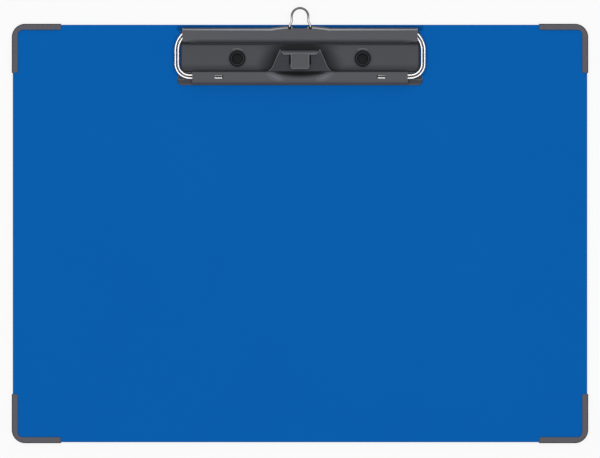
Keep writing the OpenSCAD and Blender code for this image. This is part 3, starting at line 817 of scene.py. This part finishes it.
@dataclass
class ReworkedBase(Reworked):
    """The clip's base: its middle falls towards the jaw, its flap's lower edge curls down.

    The cups are painted black inside as shade; the flap's upper bend has a painted highlight, the
    lip painted light.
    """

    strips: int = 14
    fall: float = 1.15 * MM
    fall_span: Span = (21.2 * MM, 26.8 * MM)
    fall_slack: float = 0.05 * MM
    fixed_height: float = 0.8 * MM
    free_height: float = 1.4 * MM
    curl: float = 1.6 * MM
    curl_reach: float = 0.75 * MM
    curl_span: Span = (8.0 * MM, 10.1 * MM)
    curl_level: float = 3.2 * MM
    curl_limit: float = 1.05
    curl_side: Span = (56 * MM, 62 * MM)
    mouth_lift: float = 0.1 * MM
    mouth_side: float = 63 * MM
    mouth_level: float = 4.4 * MM
    mouth_slack: float = 0.15 * MM
    rivet_place: Span = (35.1 * MM, 19.1 * MM)
    cup_radius: float = 4.75 * MM
    cup_height: float = 1.95 * MM
    rim_radius: float = 4.4 * MM
    rim_height: float = 2 * MM
    plain_weight: float = 0.5
    edge_slack: float = 0.3 * MM
    pocket: Span = (36 * MM, 9 * MM)
    bend_depth: float = 3.4 * MM
    bend_height: float = 2.5 * MM
    bend_tilt: Span = (0.12, 0.62)
    bend_rise: float = 0.3
    lip_depth: float = 32.9 * MM
    lip_rise: float = -0.2

    def reshape(self, piece: Item) -> None:
        """Lowers the middle, curls the flap's edge and clears the flap's ends for the wires."""
        self.cut(piece)
        for vertex in piece.data.vertices:
            side, depth, height = Bench.place(vertex.co)
            if depth < self.fall_span[1] + self.fall_slack:
                along = Bench.share(depth, *self.fall_span)
                free = Bench.share(height, self.fixed_height, self.free_height)
                vertex.co.z -= self.fall * along * along * free
            curl_start, curl_end = self.curl_span
            turn = (depth - curl_start) / (curl_end - curl_start)
            if height > self.curl_level and 0.0 < turn < self.curl_limit:
                clear = 1.0 - Bench.share(side, *self.curl_side)
                vertex.co.z -= self.curl * turn * turn * clear
                vertex.co.y -= self.curl_reach * turn * clear
            if abs(height - self.mouth_level) < self.mouth_slack and side > self.mouth_side:
                vertex.co.z += self.mouth_lift

    def cut(self, piece: Item) -> None:
        """Cuts the faces into strips where they are to be bent."""
        Bench.take(piece)
        bpy.ops.object.mode_set(mode="EDIT")
        for start, end in (self.fall_span, self.curl_span):
            for step in range(self.strips):
                depth = start + (end - start) * step / self.strips
                self.slice((0, BOARD_EDGE - depth, 0), (0, 1, 0))
        for out in self.curl_side:
            for side in (-out, out):
                self.slice((side, 0, 0), (1, 0, 0))
        bpy.ops.object.mode_set(mode="OBJECT")

    @staticmethod
    def slice(point: Colour, normal: Colour) -> None:
        """Cuts all faces of the piece in edit mode along one plane."""
        bpy.ops.mesh.select_all(action="SELECT")
        bpy.ops.mesh.bisect(plane_co=point, plane_no=normal)

    def edge_weight(self, across: float, depth: float, height: float) -> float:
        """Returns wide rounds on the cups' rims, none at the hook or on the flap's lower edge."""
        if depth < self.pocket[1] and across < self.pocket[0]:
            return 0.0
        if abs(depth - self.curl_span[1]) < self.edge_slack:
            return 0.0
        off_rim = abs(self.off_rivet(across, depth) - self.rim_radius)
        return 1.0 if off_rim < self.edge_slack and height > self.rim_height else self.plain_weight

    def off_rivet(self, across: float, depth: float) -> float:
        """Returns the distance from the middle of the nearer rivet, seen from above."""
        return math.hypot(across - self.rivet_place[0], depth - self.rivet_place[1])

    def paint_parts(self, piece: Item) -> None:
        """Paints shade black in both cups, a highlight on the flap's bend and painted light on the
        lip.
        """
        cup, bend, lip = (Bench.offer(piece, finish)
                          for finish in (Finishes.RIVET, Finishes.FLAP_RUB, Finishes.LIP_RUB))
        low, high = self.bend_tilt
        for face in piece.data.polygons:
            across, depth, height = Bench.place(face.center)
            on_bend = depth < self.bend_depth and height > self.bend_height
            if on_bend and low < face.normal.y < high and face.normal.z > self.bend_rise:
                face.material_index = bend
            elif depth > self.lip_depth and face.normal.z > self.lip_rise:
                face.material_index = lip
            # Painted shade: the cups' insides are painted black.
            if self.off_rivet(across, depth) < self.cup_radius and height < self.cup_height:
                face.material_index = cup


@dataclass
class ReworkedJaw(Reworked):
    """The jaw: edge rounds with a painted highlight round the lift and the tab, none in the hollow
    or the openings.
    """

    root_depth: float = 26.0 * MM
    root_half: float = 21 * MM
    top_depth: float = 27 * MM
    slit_side: Span = (5.6 * MM, 6.7 * MM)
    slit_depth: Span = (16.9 * MM, 22.5 * MM)
    window_side: Span = (42 * MM, 48.6 * MM)
    window_depth: float = 27.5 * MM
    plain_weight: float = 0.4
    edge_slack: float = 0.3 * MM
    bend_depth: float = 31.9 * MM
    bend_tilt: float = -0.2
    bend_rise: float = -0.2

    def edge_weight(self, across: float, depth: float, height: float) -> float:
        """Returns full rounds on the lift and the tab, and narrow ones elsewhere."""
        slit_in, slit_out = self.slit_side
        slit_top, slit_bottom = self.slit_depth
        at_root = depth > self.root_depth and (across < self.root_half or depth < self.top_depth)
        in_slit = slit_in < across < slit_out and depth > slit_top
        below_hole = abs(depth - slit_bottom) < self.edge_slack and across < slit_out
        window_in, window_out = self.window_side
        in_window = window_in < across < window_out and depth > self.window_depth
        if at_root or in_slit or below_hole or in_window:
            return 0.0
        return 1.0 if depth < self.root_depth else self.plain_weight

    def paint_parts(self, piece: Item) -> None:
        """Paints the jaw's lower bend lighter, as painted light."""
        bend = Bench.offer(piece, Finishes.LIP_RUB)
        for face in piece.data.polygons:
            _, depth, _ = Bench.place(face.center)
            down = face.normal.y < self.bend_tilt and face.normal.z > self.bend_rise
            if depth > self.bend_depth and down:
                face.material_index = bend


@dataclass
class ReworkedGuard(Reworked):
    """A corner guard, with painted shade where its outer edge turns down."""

    outer_tilt: Span = (0.05, 0.9)

    def paint_parts(self, piece: Item) -> None:
        """Gives the outer round its darker finish, a painted shade."""
        outer = Bench.offer(piece, Finishes.GUARD_EDGE)
        low, high = self.outer_tilt
        for face in piece.data.polygons:
            outward = face.normal.x * face.center.x > 0 or face.normal.y * face.center.y > 0
            if outward and low < face.normal.z < high:
                face.material_index = outer


@dataclass
class Board:
    """The stiff core with its wrapping film and its lining."""

    coats: dict[str, Finishes] = field(default_factory=lambda: {
        "board_core": Finishes.CORE,
        "front_cover": Finishes.COVER,
        "back_lining": Finishes.LINING,
    })

    def build(self) -> None:
        """Coats the core and both sheets."""
        for node, finish in self.coats.items():
            Bench.coat(frame["nodes"][node], finish)
            LOG.info("coated %s", node)


@dataclass
class CornerGuards:
    """The four moulded guards."""

    edge_width: float = 0.2 * MM
    nodes: tuple[str, ...] = (
        "guard_top_left", "guard_top_right", "guard_bottom_left", "guard_bottom_right")

    def build(self) -> None:
        """Reworks the four guards."""
        for node in self.nodes:
            ReworkedGuard(node, "board", "guard_plastic", Finishes.GUARD, Finishes.GUARD,
                          edge_width=self.edge_width).build()


@dataclass
class Clip:
    """The pressed base with its rivets, the spring wires and the jaw."""

    coats: dict[str, Finishes] = field(default_factory=lambda: {
        "rivet_washer_left": Finishes.WASHER,
        "rivet_washer_right": Finishes.WASHER,
        "spring_wire_outer": Finishes.WIRE,
        "spring_wire_inner": Finishes.WIRE,
        "hanging_hook": Finishes.HOOK,
    })
    base_edge: float = 0.28 * MM
    jaw_edge: float = 0.26 * MM
    rivet_edge: float = 0.3 * MM

    def build(self) -> None:
        """Coats the wires and washers and reworks the sheet metal and the rivets."""
        for node, finish in self.coats.items():
            Bench.coat(frame["nodes"][node], finish)
            LOG.info("coated %s", node)
        # The clip's rounds take a lighter paint as a painted highlight.
        ReworkedBase("clip_base", "board", "clip_sheet", Finishes.BASE, Finishes.CLIP_EDGE,
                     edge_width=self.base_edge).build()
        ReworkedJaw("jaw_plate", "jaw", "clip_sheet", Finishes.JAW, Finishes.CLIP_EDGE,
                    edge_width=self.jaw_edge).build()
        for side in ("left", "right"):
            Reworked(f"rivet_{side}", "board", "rivet_metal", Finishes.RIVET, Finishes.RIVET_EDGE,
                     edge_width=self.rivet_edge, clamp=True).build()


@dataclass(frozen=True)
class Lamp:
    """A soft rectangular lamp that faces the board, with its power in watts."""

    name: str
    place: Colour
    size: Span
    power: float

    def hang(self) -> None:
        """Adds the lamp to the scene."""
        Bench.clear()
        bpy.ops.object.light_add(type="AREA", location=self.place)
        lamp = bpy.context.object
        lamp.name = self.name
        lamp.data.shape = "RECTANGLE"
        lamp.data.size, lamp.data.size_y = self.size
        lamp.data.energy = self.power
        lamp.rotation_euler = (-Vector(self.place)).to_track_quat("-Z", "Y").to_euler()


@dataclass
class Studio:
    """White ground, a wide soft lamp above, a weak one past the top edge, and the camera."""

    floor_size: float = 6.0
    floor_level: float = -0.05 * MM
    paper: Colour = (0.82, 0.82, 0.82)
    white: Colour = (1.0, 1.0, 1.0)
    glow: float = 0.82
    sky: float = 0.2
    lamps: tuple[Lamp, ...] = (
        Lamp("lamp_above", (0.0, -0.02, 2.5), (2.2, 2.2), 55.6),
        Lamp("lamp_top", (0.0, 1.3, 1.0), (1.8, 0.9), 3.0),
    )
    camera_place: Span = (0.0, -2.09 * MM)
    camera_height: float = 2.0
    camera_reach: Span = (0.05, 20.0)
    sensor: float = 36.0
    pixel: float = 0.5604 * MM

    def build(self) -> None:
        """Sets the ground, the sky, the lamps and the camera."""
        self.set_ground()
        self.set_sky()
        for lamp in self.lamps:
            lamp.hang()
        self.set_camera()

    def set_ground(self) -> None:
        """Adds the floor, which shows white to the camera and keeps the board's shadow."""
        Bench.clear()
        bpy.ops.mesh.primitive_plane_add(size=self.floor_size, location=(0, 0, self.floor_level))
        floor = bpy.context.object
        floor.name = "studio_floor"
        material = bpy.data.materials.new("studio_paper")
        material.use_nodes = True
        graph = Graph(material.node_tree)
        seen = self.seen_share(graph)
        paper = graph.node("ShaderNodeBsdfDiffuse", None, {"Color": self.paper})
        glow = graph.node("ShaderNodeEmission", None, {"Color": self.white, "Strength": 1.0})
        both = graph.node("ShaderNodeMixShader", None, {
            0: seen * self.glow,
            1: Term(graph, paper.outputs[0]),
            2: Term(graph, glow.outputs[0]),
        })
        graph.node("ShaderNodeOutputMaterial", None, {"Surface": Term(graph, both.outputs[0])})
        floor.data.materials.append(material)

    @staticmethod
    def seen_share(graph: Graph) -> Term:
        """Returns 1 for what the camera sees, straight or in metal and glass, and else 0."""
        path = graph.node("ShaderNodeLightPath")
        straight = Term(graph, path.outputs["Is Camera Ray"])
        mirrored = Term(graph, path.outputs["Is Glossy Ray"])
        through = Term(graph, path.outputs["Is Transmission Ray"])
        return graph.largest(straight, mirrored, through)

    def set_sky(self) -> None:
        """Sets a dim even sky, which shows white only behind the floor's edge."""
        world = bpy.data.worlds.new("studio_sky")
        bpy.context.scene.world = world
        world.use_nodes = True
        graph = Graph(world.node_tree)
        path = graph.node("ShaderNodeLightPath")
        straight = Term(graph, path.outputs["Is Camera Ray"])
        strength = straight * (1.0 - self.sky) + self.sky
        sky = graph.node("ShaderNodeBackground", None, {
            "Color": self.white, "Strength": strength})
        graph.node("ShaderNodeOutputWorld", None, {"Surface": Term(graph, sky.outputs[0])})

    def set_camera(self) -> None:
        """Places the camera straight over the board, at the photograph's own scale."""
        Bench.clear()
        bpy.ops.object.camera_add(
            location=(*self.camera_place, FACE_LEVEL + self.camera_height), rotation=(0, 0, 0))
        camera = bpy.context.object
        camera.name = "camera_over_board"
        lens = camera.data
        lens.sensor_fit = "HORIZONTAL"
        lens.sensor_width = self.sensor
        lens.lens = lens.sensor_width * self.camera_height / (self.pixel * PHOTO_WIDTH)
        lens.clip_start, lens.clip_end = self.camera_reach
        bpy.context.scene.camera = camera


def main() -> None:
    """Builds the scene."""
    logging.basicConfig(level=logging.INFO, format="%(name)s: %(message)s")
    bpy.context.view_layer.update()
    scene = bpy.context.scene
    scene.view_settings.view_transform = "Standard"
    Studio().build()
    for group in (Board(), CornerGuards(), Clip()):
        group.build()
        LOG.info("built %s", type(group).__name__)


if __name__ == "__main__":
    main()
